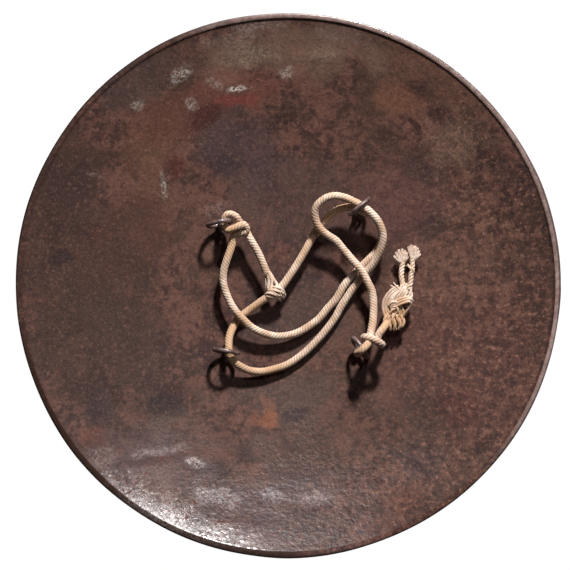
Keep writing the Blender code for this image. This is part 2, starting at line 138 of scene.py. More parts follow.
def fan(foot_y, foot_height, bend_height, fibres):
    """Tufts of thin fibres that spread from the frayed end of a yarn."""
    routes = [[(x, foot_y, foot_height), (*bend, bend_height), *ends] for x, bend, *ends in fibres]
    return [twisted(5, 0.0009, 0.00045, 0.6, 260, route) for route in routes]


HITCH_YARNS = [
    single(0.00155, 1.0, [
        (-0.021, 0.0127, 0.0148), (-0.021, 0.009, 0.0148), (-0.0206, 0.0048, 0.0146),
        (-0.0202, 0.0006, 0.014), (-0.0197, -0.0036, 0.013), (-0.0183, -0.0074, 0.011),
    ]),
    single(0.0016, 1.0, [
        (-0.02, 0.0137, 0.0166), (-0.0189, 0.009, 0.017), (-0.0179, 0.0048, 0.0172),
        (-0.0183, -0.0001, 0.017), (-0.0185, -0.004, 0.0168), (-0.0174, -0.007, 0.014),
        (-0.0164, -0.0088, 0.0115),
    ]),
    single(0.0016, 1.0, [
        (-0.0187, 0.0137, 0.017), (-0.017, 0.009, 0.0176), (-0.0152, 0.0043, 0.0176),
        (-0.0153, -0.0003, 0.0174), (-0.0155, -0.0042, 0.0186), (-0.0129, -0.0076, 0.0194),
        (-0.0088, -0.0096, 0.017), (-0.0073, -0.0111, 0.0135),
    ]),
    single(0.0016, 1.0, [
        (-0.018, 0.0127, 0.0156), (-0.0153, 0.0085, 0.016), (-0.0127, 0.0042, 0.0166),
        (-0.0107, 0.001, 0.0174), (-0.0104, -0.002, 0.0186), (-0.0125, -0.0042, 0.0196),
        (-0.0159, -0.0057, 0.0186), (-0.0179, -0.0072, 0.015), (-0.0182, -0.0083, 0.012),
    ]),
    single(0.0015, 1.0, [
        (-0.0189, 0.0113, 0.0136), (-0.0172, 0.0067, 0.0134), (-0.015, 0.002, 0.0134),
        (-0.0131, -0.0018, 0.0132),
    ]),
    single(0.0015, 1.0, [
        (-0.0169, -0.0046, 0.0125), (-0.0153, -0.0025, 0.0168), (-0.0116, -0.002, 0.0192),
        (-0.0075, -0.0031, 0.019), (-0.0045, -0.0053, 0.015), (-0.0038, -0.007, 0.0115),
    ]),
    single(0.0015, 1.0, [
        (-0.0193, -0.0066, 0.0125), (-0.0178, -0.0049, 0.017), (-0.0138, -0.0048, 0.0198),
        (-0.0095, -0.0057, 0.0196), (-0.0062, -0.0078, 0.016), (-0.0053, -0.0095, 0.0125),
    ]),
    single(0.0015, 1.0, [
        (-0.021, -0.0095, 0.0125), (-0.0198, -0.0079, 0.017), (-0.0161, -0.0077, 0.0196),
        (-0.0121, -0.0091, 0.019), (-0.009, -0.0109, 0.0156), (-0.008, -0.0125, 0.0125),
    ]),
    single(0.0015, 1.0, [
        (-0.0219, -0.0115, 0.012), (-0.0202, -0.0106, 0.0162), (-0.0168, -0.0107, 0.018),
        (-0.0135, -0.0119, 0.017), (-0.0107, -0.0136, 0.0134),
    ]),
    twisted(2, 0.0009, 0.001, 0.6, 500, [
        (-0.0084, -0.0049, 0.018), (-0.0058, -0.0066, 0.0172), (-0.0037, -0.0087, 0.0145),
        (-0.0032, -0.0113, 0.012),
    ]),
    twisted(2, 0.0009, 0.001, 0.6, 500, [
        (-0.0093, -0.0078, 0.0175), (-0.0067, -0.0094, 0.016), (-0.0049, -0.0111, 0.0135),
        (-0.0051, -0.0132, 0.0115),
    ]),
    twisted(2, 0.0009, 0.0009, 0.6, 500, [
        (-0.0108, -0.0098, 0.0165), (-0.0088, -0.0115, 0.015), (-0.0075, -0.0134, 0.0126),
        (-0.0081, -0.0151, 0.011),
    ]),
]
END_KNOT_YARNS = [
    single(0.005, 0.8, [
        (0.0991, -0.0055, 0.0094), (0.0981, -0.012, 0.0107), (0.0993, -0.0195, 0.011),
        (0.1008, -0.027, 0.0104), (0.1012, -0.0326, 0.0094), (0.1013, -0.0368, 0.0088),
    ]),
    flat(3, 0.0023, 0.0014, [
        (0.1044, -0.0023, 0.0128), (0.0979, -0.0064, 0.0141), (0.0927, -0.013, 0.0141),
        (0.0909, -0.0204, 0.0132), (0.0926, -0.0279, 0.0122), (0.0958, -0.0344, 0.0107),
    ]),
    flat(4, 0.0023, 0.0014, [
        (0.1093, 0.0023, 0.0116), (0.1086, -0.0027, 0.0138), (0.1062, -0.0079, 0.0149),
        (0.1025, -0.0126, 0.0146), (0.1002, -0.0176, 0.0135),
    ]),
    single(0.00145, 1.0, [
        (0.0975, -0.0182, 0.0135), (0.1019, -0.0142, 0.015), (0.1076, -0.0118, 0.0156),
        (0.1124, -0.0109, 0.015), (0.1151, -0.012, 0.0125),
    ]),
    single(0.00145, 1.0, [
        (0.0979, -0.0204, 0.0141), (0.1026, -0.0165, 0.0161), (0.1081, -0.014, 0.0169),
        (0.1131, -0.0129, 0.0163), (0.1156, -0.0146, 0.0138), (0.1146, -0.0182, 0.0113),
    ]),
    single(0.00145, 1.0, [
        (0.0988, -0.0223, 0.0144), (0.1033, -0.0187, 0.017), (0.1086, -0.0163, 0.018),
        (0.1125, -0.0153, 0.0173), (0.1141, -0.0176, 0.0148), (0.1117, -0.0219, 0.0137),
        (0.1094, -0.0254, 0.0127), (0.1076, -0.0286, 0.0113),
    ]),
    single(0.0013, 0.8, [
        (0.1151, -0.0167, 0.0128), (0.1129, -0.0211, 0.013), (0.1105, -0.0252, 0.0122),
        (0.1086, -0.029, 0.0107),
    ]),
    flat(2, 0.0023, 0.0013, [
        (0.094, -0.0204, 0.0144), (0.0978, -0.017, 0.0156), (0.103, -0.0183, 0.0156),
        (0.1062, -0.0232, 0.0145), (0.1055, -0.0293, 0.0132), (0.1022, -0.0338, 0.0119),
    ]),
    twisted(2, 0.001, 0.00125, 1.0, 350, [
        (0.0958, -0.0279, 0.0144), (0.0971, -0.0226, 0.0155), (0.1007, -0.0211, 0.0159),
        (0.1028, -0.0245, 0.0153), (0.1014, -0.029, 0.0141),
    ]),
    twisted(2, 0.001, 0.00135, 1.0, 350, [
        (0.092, -0.0265, 0.0125), (0.0905, -0.0316, 0.0135), (0.0908, -0.0359, 0.0135),
        (0.0929, -0.0395, 0.0119),
    ]),
    twisted(2, 0.0011, 0.00135, 1.0, 350, [
        (0.0942, -0.026, 0.0135), (0.0938, -0.0316, 0.0144), (0.0947, -0.0372, 0.0139),
        (0.0965, -0.0421, 0.0116),
    ]),
    twisted(2, 0.0011, 0.00135, 1.0, 350, [
        (0.0968, -0.026, 0.0141), (0.0978, -0.0314, 0.015), (0.0991, -0.037, 0.0142),
        (0.1, -0.0426, 0.0113),
    ]),
    twisted(2, 0.0011, 0.00135, 1.0, 350, [
        (0.0994, -0.0266, 0.0141), (0.1021, -0.031, 0.0148), (0.1038, -0.0359, 0.0137),
        (0.1039, -0.0415, 0.011),
    ]),
    twisted(2, 0.001, 0.0013, 1.0, 350, [
        (0.1035, -0.026, 0.0122), (0.1062, -0.0301, 0.0129), (0.1072, -0.0348, 0.0123),
        (0.1062, -0.0395, 0.0104),
    ]),
    twisted(3, 0.0013, 0.0013, 1.0, 300, [
        (0.1115, 0.0006, 0.0122), (0.1134, -0.0046, 0.0133), (0.1138, -0.0098, 0.0135),
        (0.1125, -0.0148, 0.0128), (0.1096, -0.0204, 0.0113),
    ]),
]
WISP_YARNS = [
    single(0.00085, 0.6, [
        (0.102, -0.0051, 0.0138), (0.0992, -0.0027, 0.0145), (0.0971, -0.0012, 0.0144),
        (0.0953, 0.0003, 0.0138),
    ]),
    single(0.00085, 0.6, [
        (0.1033, -0.0042, 0.0138), (0.101, -0.0012, 0.0145), (0.0996, 0.0008, 0.0143),
        (0.0981, 0.0029, 0.0135),
    ]),
    single(0.0007, 0.5, [
        (0.1007, -0.0061, 0.0138), (0.099, -0.0044, 0.0146), (0.0978, -0.0023, 0.0145),
        (0.0972, -0.0003, 0.014),
    ]),
    twisted(2, 0.0007, 0.0009, 0.7, 500, [
        (0.111, 0.0193, 0.011), (0.1131, 0.0169, 0.0125), (0.1157, 0.0143, 0.0128),
        (0.118, 0.0118, 0.0114),
    ]),
]
FRAYED_YARNS = [
    twisted(3, 0.0014, 0.00135, 0.9, 620, [
        (0.1076, -0.0046, 0.0132), (0.1069, 0.001, 0.0125), (0.1058, 0.0076, 0.0113),
        (0.106, 0.0141, 0.0099), (0.107, 0.0197, 0.0087), (0.1067, 0.023, 0.0084),
    ]),
    *fan(0.0202, 0.0087, 0.0093, [
        (0.1065, (0.1035, 0.0229), (0.1006, 0.0257, 0.0084), (0.0992, 0.0277, 0.0071)),
        (0.1066, (0.1042, 0.0241), (0.102, 0.0282, 0.0085), (0.1009, 0.031, 0.0075)),
        (0.1067, (0.1053, 0.025), (0.104, 0.03, 0.0088), (0.1034, 0.0335, 0.008)),
        (0.1068, (0.1066, 0.0252), (0.1065, 0.0305, 0.0089), (0.1065, 0.0342, 0.0083)),
        (0.107, (0.1077, 0.0247), (0.1086, 0.0296, 0.0089), (0.109, 0.0329, 0.0082)),
        (0.1071, (0.1086, 0.024), (0.1103, 0.028, 0.0086), (0.1112, 0.0308, 0.0077)),
        (0.1071, (0.1092, 0.0229), (0.1114, 0.0257, 0.0083), (0.1126, 0.0277, 0.0071)),
        (0.1066, (0.1047, 0.0231), (0.1029, 0.0263, 0.0094), (0.102, 0.0284, 0.0092)),
        (0.1069, (0.1071, 0.0239), (0.1074, 0.0278, 0.0096), (0.1076, 0.0304, 0.0096)),
    ]),
    twisted(3, 0.0014, 0.00135, 0.9, 620, [
        (0.1123, -0.0046, 0.0132), (0.1138, 0.001, 0.013), (0.1144, 0.0076, 0.012),
        (0.1156, 0.0141, 0.0107), (0.116, 0.0206, 0.0094), (0.1159, 0.0248, 0.0088),
    ]),
    *fan(0.0225, 0.0093, 0.0099, [
        (0.1159, (0.1144, 0.0275), (0.113, 0.0327, 0.0093), (0.1124, 0.0363, 0.0083)),
        (0.116, (0.1153, 0.028), (0.1147, 0.0338, 0.0095), (0.1145, 0.0378, 0.0088)),
        (0.1161, (0.1162, 0.0278), (0.1165, 0.0335, 0.0096), (0.1166, 0.0374, 0.0091)),
        (0.1162, (0.1172, 0.0277), (0.1182, 0.0332, 0.0094), (0.1187, 0.037, 0.0087)),
        (0.1163, (0.1181, 0.027), (0.1199, 0.0319, 0.0093), (0.1209, 0.0352, 0.0083)),
        (0.1164, (0.1188, 0.0261), (0.1214, 0.0299, 0.009), (0.1227, 0.0326, 0.0078)),
        (0.1164, (0.1191, 0.025), (0.1219, 0.0277, 0.0088), (0.1233, 0.0296, 0.0075)),
        (0.1159, (0.115, 0.0265), (0.1141, 0.0308, 0.01), (0.1137, 0.0337, 0.0098)),
        (0.1161, (0.1169, 0.0265), (0.1177, 0.0307, 0.0102), (0.1181, 0.0337, 0.0102)),
        (0.1163, (0.1179, 0.0255), (0.1196, 0.0287, 0.0099), (0.1205, 0.0309, 0.0096)),
    ]),
]

# Each piece of loose yarns and the nodes in whose place it stands
LOOSE_YARNS = {
    "rope_hitch_yarns": (HITCH_YARNS, ["rope_hitch_middle"]),
    "rope_end_knot_yarns": (END_KNOT_YARNS, ["rope_end_knot"]),
    "rope_frayed_yarns": (FRAYED_YARNS, ["rope_frayed_left", "rope_frayed_right"]),
    "rope_wisps": (WISP_YARNS, []),
}

# Shape of the lay: strands, the length of one turn, and the strand's radius as a share of the whole
STRANDS = 4
LAY_LENGTH = 0.0116
STRAND_SHARE = 0.72
ROPE_SIDES = 28
ROPE_ROW = 0.0005
YARN_STRANDS = 2
YARN_LAY = 0.006
YARN_STRAND_SHARE = 0.88
YARN_GROOVE = 0.65
YARN_SIDES = 12
YARN_ROW = 0.0005
TIP_LENGTH = 0.0015
TIP_END = 0.02
CURVE_STEPS = 30

# Where a knot is pulled tight round a ring: x, y, reach and the share of its thickness left there
TIGHT_PLACES = [(-0.0545, 0.062, 0.0085, 0.86)]

# The camera, straight above, at the photograph's scale
IMAGE_SIZE = 570
PIXEL_AT_RIM = 0.0009164
CAMERA_HEIGHT = 2.0
RIM_HEIGHT = 0.06
CAMERA_X = -0.0028
CAMERA_Y = 0.0001
SENSOR = 36.0


def inside_height(x, y):
    """Height of the plate's hollow side at a place seen from above."""
    radius = DISH_RADIUS - HALF_THICKNESS
    return DISH_CENTRE_Z - math.sqrt(radius**2 - x * x - y * y)


def inside_point(x, y):
    return Vector((x, y, inside_height(x, y)))


def plate_normal(x, y):
    return (Vector((0, 0, DISH_CENTRE_Z)) - inside_point(x, y)).normalized()


def smooth_step(value, low, high):
    share = np.clip((value - low) / (high - low), 0, 1)
    return share * share * (3 - 2 * share)


RELIEF_GRID = 97
RELIEF_SHIFT = (0.37, 0.53)


def random_relief(x, y, size, seed):
    """Smooth random heights from -1 to 1, in bumps of about one size."""
    count = RELIEF_GRID
    grid = np.random.default_rng(seed).uniform(-1, 1, (count, count))
    u = np.asarray(x) / size + RELIEF_SHIFT[0] * seed
    v = np.asarray(y) / size + RELIEF_SHIFT[1] * seed
    i = np.floor(u).astype(int)
    j = np.floor(v).astype(int)
    a = u - i
    b = v - j
    a = a * a * (3 - 2 * a)
    b = b * b * (3 - 2 * b)
    low = grid[i % count, j % count] * (1 - a) + grid[(i + 1) % count, j % count] * a
    high = grid[i % count, (j + 1) % count] * (1 - a) + grid[(i + 1) % count, (j + 1) % count] * a
    return low * (1 - b) + high * b


def faces_between(index, closed=False):
    """Quads between rows of points that close round; the last row can join the first."""
    below = index if closed else index[:-1]
    above = np.roll(index, -1, 0) if closed else index[1:]
    quads = np.stack([below, np.roll(below, -1, 1), np.roll(above, -1, 1), above], -1)
    return quads.reshape(-1, 4).tolist()


def faces_to_pole(row, pole, turned):
    """Triangles between a row of points and the pole that closes it."""
    ring = row.tolist()
    return [(b, a, pole) if turned else (a, b, pole) for a, b in zip(ring, ring[1:] + ring[:1])]


def new_object(name, points, faces):
    mesh = bpy.data.meshes.new(name)
    mesh.from_pydata(points, [], faces)
    mesh.shade_smooth()
    obj = bpy.data.objects.new(name, mesh)
    bpy.context.scene.collection.objects.link(obj)
    return obj


def surface(name, rows, closed=False, start=None, end=None):
    """A mesh from rows of points that close round; it ends in poles, or in its own first row."""
    count, sides = rows.shape[:2]
    index = np.arange(count * sides).reshape(count, sides)
    points = rows.reshape(-1, 3).tolist()
    faces = faces_between(index, closed)
    for pole, row, turned in ((start, index[0], True), (end, index[-1], False)):
        if pole is not None:
            faces += faces_to_pole(row, len(points), turned)
            points.append(list(pole))
    return new_object(name, points, faces)


def set_values(obj, name, values):
    """A value for each point of a mesh, which its material can read."""
    attribute = obj.data.attributes.new(name, "FLOAT", "POINT")
    attribute.data.foreach_set("value", np.asarray(values, np.float32))


def finish_piece(obj, material, slot, *nodes):
    obj.data.materials.clear()
    obj.data.materials.append(material)
    if nodes:
        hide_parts(*nodes)
    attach(obj, "root")
    return obj


# Node materials. A patch fades between two shares of its reach, and noise pushes its edge in and out
PATCH_FADE = (0.45, 1.15)
RAGGEDNESS = 2.6
ANY_HEIGHT = 1000.0


class Shader:
    """A material's node tree, with short calls for the nodes used here."""

    def __init__(self, name):
        self.material = bpy.data.materials.new(name)
        self.material.use_nodes = True
        self.tree = self.material.node_tree
        self.output = self.tree.nodes["Principled BSDF"]
        self.place = self.add("ShaderNodeTexCoord").outputs["Object"]

    def add(self, kind, **settings):
        node = self.tree.nodes.new(kind)
        for name, value in settings.items():
            setattr(node, name, value)
        return node

    def put(self, node, name, value):
        socket = node.inputs[name]
        if isinstance(value, bpy.types.NodeSocket):
            self.tree.links.new(value, socket)
        elif value is not None:
            socket.default_value = value

    def set(self, name, value):
        self.put(self.output, name, value)

    def noise(self, size, detail, rough, place=None, warp=0.0):
        node = self.add("ShaderNodeTexNoise")
        self.put(node, "Vector", place or self.place)
        self.put(node, "Scale", 1.0 / size)
        self.put(node, "Detail", detail)
        self.put(node, "Roughness", rough)
        self.put(node, "Distortion", warp)
        return node.outputs["Fac"]

    def ramp(self, value, low, high, to_low=0.0, to_high=1.0):
        node = self.add("ShaderNodeMapRange", interpolation_type="SMOOTHSTEP")
        self.put(node, "Value", value)
        limits = {"From Min": low, "From Max": high, "To Min": to_low, "To Max": to_high}
        for name, number in limits.items():
            self.put(node, name, number)
        return node.outputs["Result"]

    def math(self, operation, a, b):
        node = self.add("ShaderNodeMath", operation=operation)
        self.put(node, 0, a)
        self.put(node, 1, b)
        return node.outputs[0]

    def times(self, a, b):
        return self.math("MULTIPLY", a, b)

    def plus(self, a, b):
        return self.math("ADD", a, b)

    def minus(self, a, b):
        return self.math("SUBTRACT", a, b)

    def larger(self, a, b):
        return self.math("MAXIMUM", a, b)

    def rest_of(self, share):
        return self.minus(1.0, share)

    def mix(self, share, a, b):
        node = self.add("ShaderNodeMix", data_type="RGBA")
        self.put(node, 0, share)
        self.put(node, 6, a)
        self.put(node, 7, b)
        return node.outputs[2]

    def patch(self, x, y, length, width, turn, ragged):
        """One in the middle of an oval place seen from above, falling to nought at its ragged edge."""
        node = self.add("ShaderNodeMapping", vector_type="TEXTURE")
        self.put(node, "Vector", self.place)
        self.put(node, "Location", (x, y, 0))
        self.put(node, "Rotation", (0, 0, math.radians(turn)))
        self.put(node, "Scale", (length, width, ANY_HEIGHT))
        reach = self.add("ShaderNodeVectorMath", operation="LENGTH")
        self.put(reach, 0, node.outputs["Vector"])
        distance = reach.outputs["Value"]
        shift = self.times(self.minus(0.5, ragged), RAGGEDNESS)
        return self.ramp(self.plus(distance, shift), *PATCH_FADE, 1.0, 0.0)

    def reach(self):
        """Distance from the middle of the shield, seen from above."""
        level = self.add("ShaderNodeMapping")
        self.put(level, "Vector", self.place)
        self.put(level, "Scale", (1, 1, 0))
        node = self.add("ShaderNodeVectorMath", operation="LENGTH")
        self.put(node, 0, level.outputs["Vector"])
        return node.outputs["Value"]

    def towards(self, x, y):
        """Distance from the middle of the shield in one direction, seen from above."""
        node = self.add("ShaderNodeVectorMath", operation="DOT_PRODUCT")
        self.put(node, 0, self.place)
        self.put(node, 1, (x, y, 0))
        return node.outputs["Value"]

    def stain(self, base, place, ragged, strength, tone):
        """The base colour with one ragged stain on it."""
        share = self.times(self.patch(*place, ragged), strength)
        return self.mix(share, base, colour(*tone))

    def value(self, name):
        return self.add("ShaderNodeAttribute", attribute_name=name).outputs["Fac"]

    def bump(self, height, depth, strength, under=None):
        node = self.add("ShaderNodeBump")
        self.put(node, "Height", height)
        self.put(node, "Distance", depth)
        self.put(node, "Strength", strength)
        if under is not None:
            self.put(node, "Normal", under)
        return node.outputs["Normal"]


def colour(r, g, b):
    """A linear colour from red, green and blue as a screen shows them, out of 255."""
    def linear(value):
        share = value / 255
        return share / 12.92 if share <= 0.04045 else ((share + 0.055) / 1.055) ** 2.4
    return (linear(r), linear(g), linear(b), 1.0)


# Stains on the plate, with painted light and shade where a comment says so: x, y, half length, half width,
# turn in degrees, then strength and screen colour
TINTS = [
    ((-0.13, 0.125, 0.046, 0.034, 60), 0.5, (94, 66, 50)),
    ((-0.105, 0.152, 0.06, 0.026, 12), 0.55, (84, 51, 43)),
    ((-0.153, 0.046, 0.05, 0.036, 40), 0.5, (90, 57, 48)),
    ((-0.2, 0.09, 0.034, 0.026, 60), 0.6, (54, 41, 42)),
    ((-0.138, 0.19, 0.044, 0.024, 35), 0.6, (58, 47, 47)),
    ((-0.045, 0.128, 0.05, 0.04, 0), 0.6, (62, 51, 54)),
    ((0.012, 0.075, 0.08, 0.052, 0), 0.5, (68, 53, 53)),
    ((0.107, 0.077, 0.055, 0.052, 40), 0.55, (86, 60, 58)),
    ((0.152, 0.134, 0.034, 0.028, 0), 0.3, (104, 80, 68)),
    # Painted shade inside the rim on the right and upper right, where the dish turns away from the lamp
    ((0.196, 0.112, 0.08, 0.022, -60), 0.65, (44, 31, 30)),
    ((0.226, 0.0, 0.06, 0.018, -88), 0.45, (48, 33, 31)),
    ((0.107, 0.17, 0.026, 0.016, -20), 0.55, (110, 74, 56)),
    ((0.16, -0.07, 0.07, 0.08, 20), 0.45, (84, 53, 50)),
    ((0.122, -0.165, 0.026, 0.022, 0), 0.5, (62, 53, 57)),
    ((0.09, -0.204, 0.052, 0.034, 10), 0.55, (100, 62, 48)),
    ((-0.01, -0.105, 0.06, 0.026, 0), 0.55, (82, 68, 64)),
    ((0.002, -0.015, 0.07, 0.05, 30), 0.5, (60, 50, 51)),
    ((-0.118, -0.184, 0.028, 0.028, 0), 0.45, (106, 68, 54)),
    ((-0.07, -0.157, 0.042, 0.009, 0), 0.55, (100, 60, 48)),
    ((-0.178, -0.138, 0.022, 0.015, -30), 0.6, (106, 64, 52)),
    ((-0.2, 0.0, 0.085, 0.2, 10), 0.65, (50, 35, 32)),
    ((-0.13, -0.06, 0.07, 0.06, 0), 0.35, (58, 43, 40)),
    ((0.004, 0.216, 0.08, 0.032, 0), 0.6, (112, 88, 76)),
    ((0.01, -0.212, 0.12, 0.044, 0), 0.45, (84, 67, 71)),
    ((-0.04, -0.15, 0.08, 0.03, 10), 0.4, (70, 51, 48)),
    ((0.15, 0.19, 0.06, 0.034, -40), 0.4, (98, 70, 58)),
    ((0.15, 0.02, 0.05, 0.05, 0), 0.4, (104, 76, 66)),
    ((-0.125, -0.165, 0.075, 0.04, -20), 0.5, (86, 71, 73)),
]
BLOTCHES = [
    ((-0.212, 0.024, 0.012, 0.009, 20), 0.7, (40, 30, 30)),
    ((-0.058, 0.113, 0.018, 0.014, 20), 0.65, (46, 38, 41)),
    ((-0.077, 0.157, 0.024, 0.011, 40), 0.75, (58, 30, 29)),
    ((-0.105, 0.11, 0.01, 0.014, 30), 0.7, (66, 32, 29)),
    ((-0.048, 0.172, 0.02, 0.006, 6), 0.65, (106, 42, 37)),
    ((-0.05, 0.183, 0.044, 0.02, 0), 0.5, (96, 56, 49)),
    ((-0.175, -0.112, 0.016, 0.024, 0), 0.7, (42, 33, 34)),
    ((-0.115, -0.109, 0.024, 0.014, 0), 0.8, (38, 30, 31)),
    ((0.004, -0.122, 0.016, 0.008, 15), 0.7, (50, 39, 40)),
    ((0.124, 0.108, 0.026, 0.014, -20), 0.6, (48, 38, 39)),
    ((0.134, 0.056, 0.018, 0.014, 0), 0.65, (48, 38, 40)),
    ((0.127, -0.118, 0.026, 0.034, 0), 0.5, (50, 39, 37)),
    ((0.155, -0.112, 0.02, 0.026, 30), 0.45, (66, 34, 32)),
    ((0.177, 0.053, 0.008, 0.006, 0), 0.6, (126, 90, 74)),
    ((-0.017, -0.114, 0.008, 0.014, 25), 0.45, (118, 76, 58)),
    ((-0.015, -0.127, 0.012, 0.009, 10), 0.55, (138, 84, 60)),
    ((-0.029, -0.126, 0.009, 0.007, 0), 0.6, (112, 72, 56)),
]
# Pale spots: rubbed metal and painted highlights
PALE_SPOTS_AND_HIGHLIGHTS = [
    # Rubbed pale spots at the top left, partly painted highlight on their dents
    ((-0.099, 0.193, 0.016, 0.007, 36), 0.85, (176, 168, 162)),
    ((-0.048, 0.1818, 0.012, 0.004, 6), 1.0, (210, 202, 194)),
    ((-0.068, 0.1866, 0.012, 0.0045, -32), 0.7, (160, 148, 140)),
    ((-0.09, 0.1685, 0.008, 0.006, -45), 0.7, (160, 146, 138)),
    ((-0.139, 0.1665, 0.007, 0.005, 30), 0.7, (176, 166, 160)),
    ((-0.037, 0.212, 0.032, 0.012, 4), 0.5, (150, 138, 122)),
    ((0.031, 0.213, 0.014, 0.01, 0), 0.45, (140, 124, 110)),
    ((-0.002, 0.197, 0.007, 0.006, 0), 0.7, (164, 152, 140)),
    ((-0.072, 0.237, 0.018, 0.004, 16), 0.6, (150, 140, 136)),
    ((-0.03, 0.2385, 0.034, 0.005, 5), 0.45, (156, 146, 142)),
    ((-0.05, 0.227, 0.036, 0.008, 10), 0.4, (140, 126, 118)),
    ((0.045, 0.231, 0.026, 0.008, -8), 0.35, (138, 124, 120)),
    ((-0.116, 0.093, 0.003, 0.014, 4), 0.85, (160, 152, 142)),
    ((-0.183, 0.103, 0.015, 0.002, -18), 0.45, (130, 112, 108)),
    ((-0.068, 0.072, 0.014, 0.007, 20), 0.55, (140, 116, 110)),
    ((0.152, 0.134, 0.032, 0.028, 0), 0.28, (150, 124, 106)),
    # Painted highlights: the bright band near the lower left rim, and the lit sides of the dents and the
    # crease above it
    ((-0.112, -0.218, 0.075, 0.013, -27), 0.6, (214, 208, 208)),
    ((-0.114, -0.216, 0.036, 0.01, -27), 0.7, (240, 236, 236)),
    ((-0.058, -0.234, 0.05, 0.011, -14), 0.45, (190, 182, 182)),
    ((-0.065, -0.1965, 0.026, 0.01, -8), 0.65, (176, 168, 168)),
    ((-0.016, -0.195, 0.014, 0.009, 0), 0.55, (156, 152, 158)),
    ((0.026, -0.1985, 0.022, 0.01, 0), 0.5, (154, 146, 150)),
    ((-0.122, -0.1545, 0.036, 0.005, 9), 0.55, (148, 134, 132)),
    ((-0.0835, -0.166, 0.012, 0.006, -25), 0.75, (180, 172, 170)),
    ((-0.17, -0.157, 0.014, 0.011, -45), 0.45, (146, 132, 130)),
]


# Parts of the plate that differ in speckle and gloss: x, y, half length, half width, turn in degrees
RIGHT_SIDE = (0.215, -0.01, 0.11, 0.23, 0)
LOWER_RIGHT = (0.11, -0.19, 0.11, 0.06, 25)
LOWER_LEFT = (-0.095, -0.212, 0.11, 0.05, -26)
BRIGHT_BAND = (-0.108, -0.219, 0.1, 0.024, -27)
GLOSSY_BOTTOM = (-0.045, -0.222, 0.215, 0.1, 0)

# Distances from the middle over which a part of the rim sets in
RIM_FOOT = (0.2424, 0.2436)
RIM_BEAD = (0.2438, 0.2449)
RIM_TOP = (0.2448, 0.2457)
RIM_EDGE = (0.2476, 0.249)
RIM_FOOT_END = (0.2446, 0.2456)
# Directions from the middle towards the rim's painted highlight and towards its painted shade
LIT_DIRECTION = (0.8, 0.6)
SHADED_DIRECTION = (-0.6, -0.8)


def patina(s, wide, middle, tone):
    """Brown patina with its stains."""
    base = s.mix(s.ramp(tone, 0.43, 0.57), colour(54, 36, 34), colour(94, 65, 57))
    base = s.mix(s.ramp(wide, 0.42, 0.58, 0.0, 0.45), base, colour(80, 60, 50))
    for stains, ragged in ((TINTS, wide), (BLOTCHES, middle)):
        for place, strength, tint in stains:
            base = s.stain(base, place, ragged, strength, tint)
    return base


def speckle(s, base, wide):
    """Specks and mottles, strongest on the right and at the lower right."""
    speckled = s.larger(s.patch(*RIGHT_SIDE, wide), s.patch(*LOWER_RIGHT, wide))
    specks = s.noise(0.004, 6, 0.8)
    spread = s.plus(s.times(speckled, 0.42), 0.22)
    base = s.mix(s.times(s.ramp(specks, 0.52, 0.66), spread), base, colour(154, 112, 94))
    base = s.mix(s.times(s.ramp(specks, 0.36, 0.48, 1.0, 0.0), spread), base, colour(38, 27, 28))
    mottles = s.noise(0.0085, 5, 0.65)
    dark = s.times(s.ramp(mottles, 0.41, 0.5, 0.5, 0.0), speckled)
    base = s.mix(dark, base, colour(44, 31, 31))
    light = s.times(s.ramp(mottles, 0.53, 0.63, 0.0, 0.35), speckled)
    return s.mix(light, base, colour(122, 88, 76))


def wear_and_painted_highlights(s, base, wide, middle, grain, rust_dots):
    """Pale rubbed spots with painted highlights among them, rust dots at the lower left and a fine grain
    all over.
    """
    pale_grain = s.ramp(s.noise(0.003, 6, 0.85), 0.43, 0.62)
    # Pale rubbed spots and painted highlights, broken up by a fine grain
    for place, strength, tint in PALE_SPOTS_AND_HIGHLIGHTS:
        share = s.times(s.patch(*place, middle), pale_grain)
        base = s.mix(s.times(share, strength), base, colour(*tint))
    base = s.mix(s.times(rust_dots, s.patch(*LOWER_LEFT, wide)), base, colour(84, 40, 34))
    base = s.mix(s.ramp(grain, 0.34, 0.46, 0.5, 0.0), base, colour(40, 29, 28))
    return s.mix(s.ramp(grain, 0.56, 0.7, 0.0, 0.35), base, colour(112, 86, 78))


def rim_painted_light_and_shade(s, base, fine, rim, lit_side, lit_rim):
    """Painted shadow at the rim's foot, painted shade on its lower left, a painted highlight on its top at
    the upper right, and a dark outer edge.
    """
    reach = s.reach()
    # Painted shadow along the rim's foot, stronger on the lit side
    foot = s.times(s.ramp(reach, *RIM_FOOT), s.ramp(reach, *RIM_FOOT_END, 1.0, 0.0))
    foot = s.times(foot, s.plus(s.times(lit_side, 0.35), 0.15))
    base = s.mix(foot, base, colour(36, 26, 26))
    # Painted shade on the rim's lower left side, away from the lamps
    shaded = s.ramp(s.towards(*SHADED_DIRECTION), 0.16, 0.21, 0.0, 0.9)
    base = s.mix(s.times(rim, shaded), base, colour(40, 26, 19))
    # Painted highlight on the rim's top on the lit side
    top = s.mix(s.ramp(fine, 0.38, 0.62), colour(126, 104, 99), colour(158, 136, 131))
    base = s.mix(s.times(lit_rim, 0.9), base, top)
    return s.mix(s.ramp(reach, *RIM_EDGE, 0.0, 0.75), base, colour(38, 28, 27))


